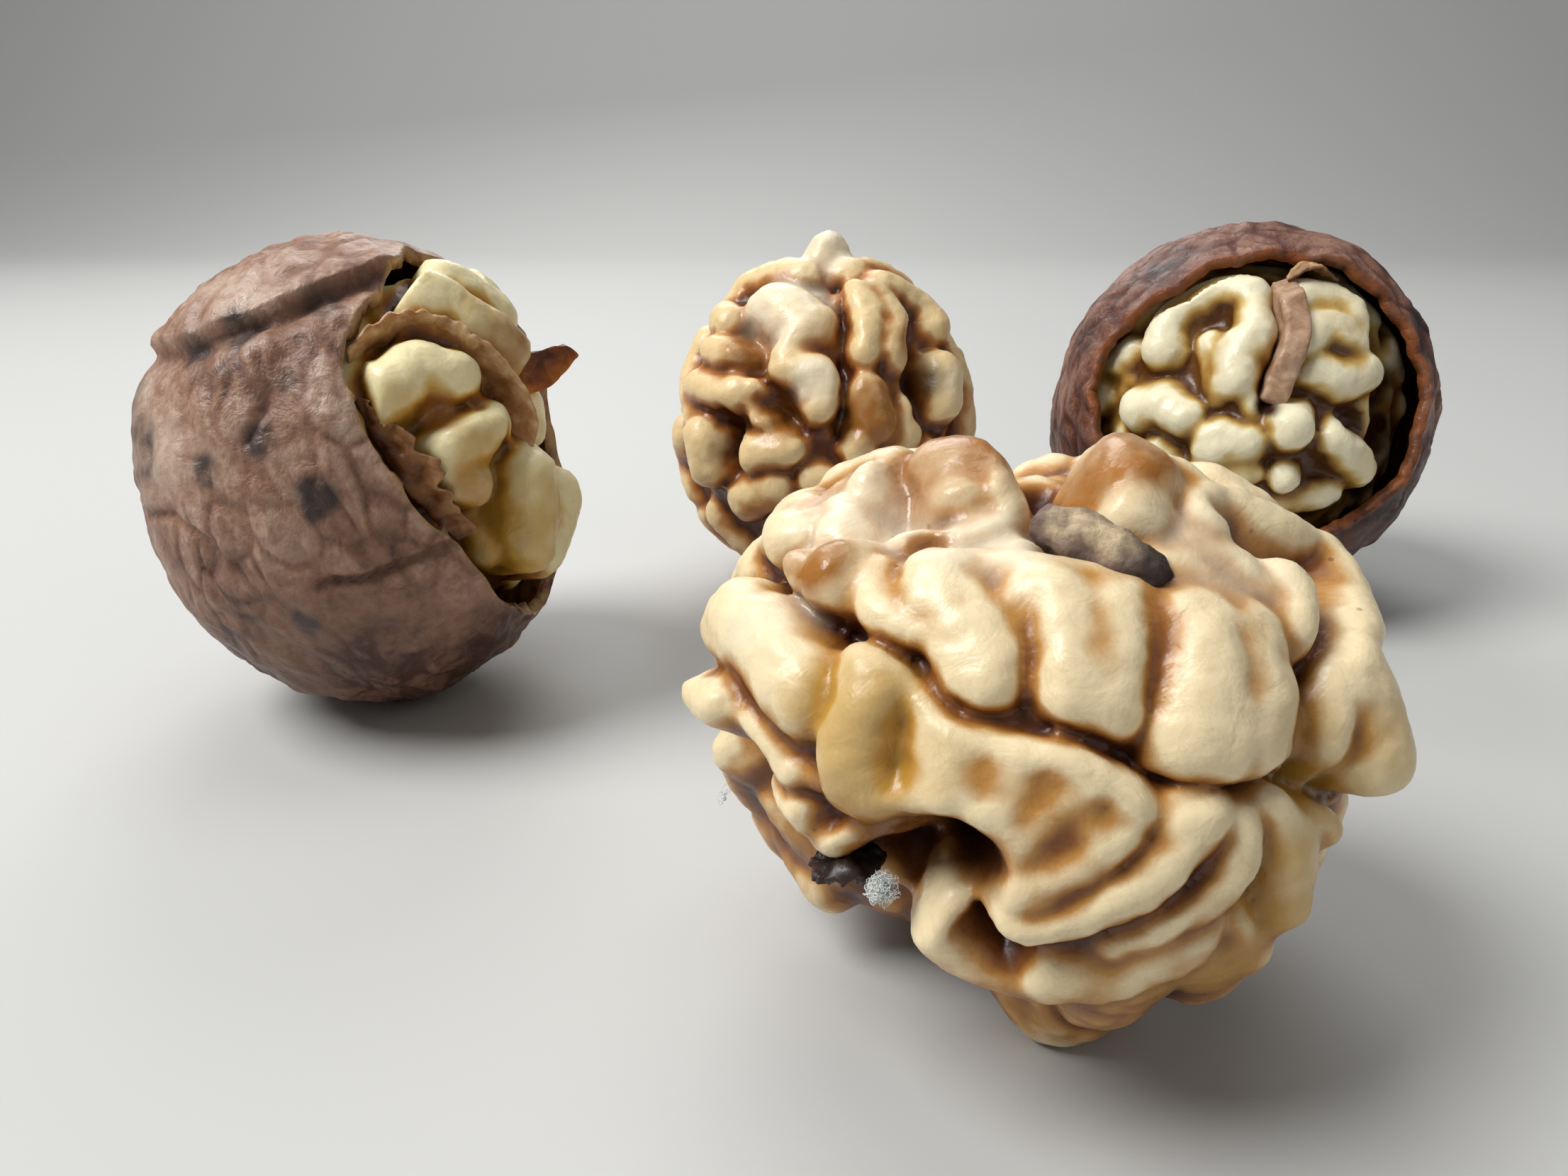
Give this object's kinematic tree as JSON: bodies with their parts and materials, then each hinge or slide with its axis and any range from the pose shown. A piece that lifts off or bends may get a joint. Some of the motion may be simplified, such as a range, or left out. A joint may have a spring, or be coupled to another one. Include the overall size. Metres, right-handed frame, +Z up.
{
  "type": "walnut kernels",
  "caption": "Walnut kernels lying on a table: bare folded kernels at the front and back, and kernels still seated in cracked round shells at the sides.",
  "frame": {"origin": "middle of the group's box, on the table that the nuts lie on", "axes": "+Z up; +X to the right along the longest extent, from the nut with the side opening to the nut with the front opening; the large bare kernel is on the -Y side"},
  "size_m": [0.1189, 0.0992, 0.039],
  "materials": {
    "bare_kernel": "satin seed skin, cream on the folds and brown in the valleys, with fine veins",
    "fresh_kernel": "satin seed skin, pale cream-yellow with golden valleys",
    "shell": "matt wrinkled nutshell, pinkish brown with dark blotches",
    "middle_wall": "dull corky wall, grey-brown with a pale top",
    "dark_scrap": "dull, nearly black, with a white tuft",
    "papery_skin": "thin satin paper skin, tan",
    "amber_shard": "glossy amber-brown splinter"
  },
  "bodies": {
    "root": {"front_kernel": "bare_kernel", "front_septum_fragment": "middle_wall", "front_shell_scrap": "dark_scrap", "back_kernel": "bare_kernel", "left_shell": "shell", "left_kernel": "fresh_kernel", "left_septum": "papery_skin", "left_shard": "amber_shard", "right_shell": "shell", "right_kernel": "fresh_kernel", "right_septum": "middle_wall", "right_skin_flake": "papery_skin"}
  },
  "joints": []
}
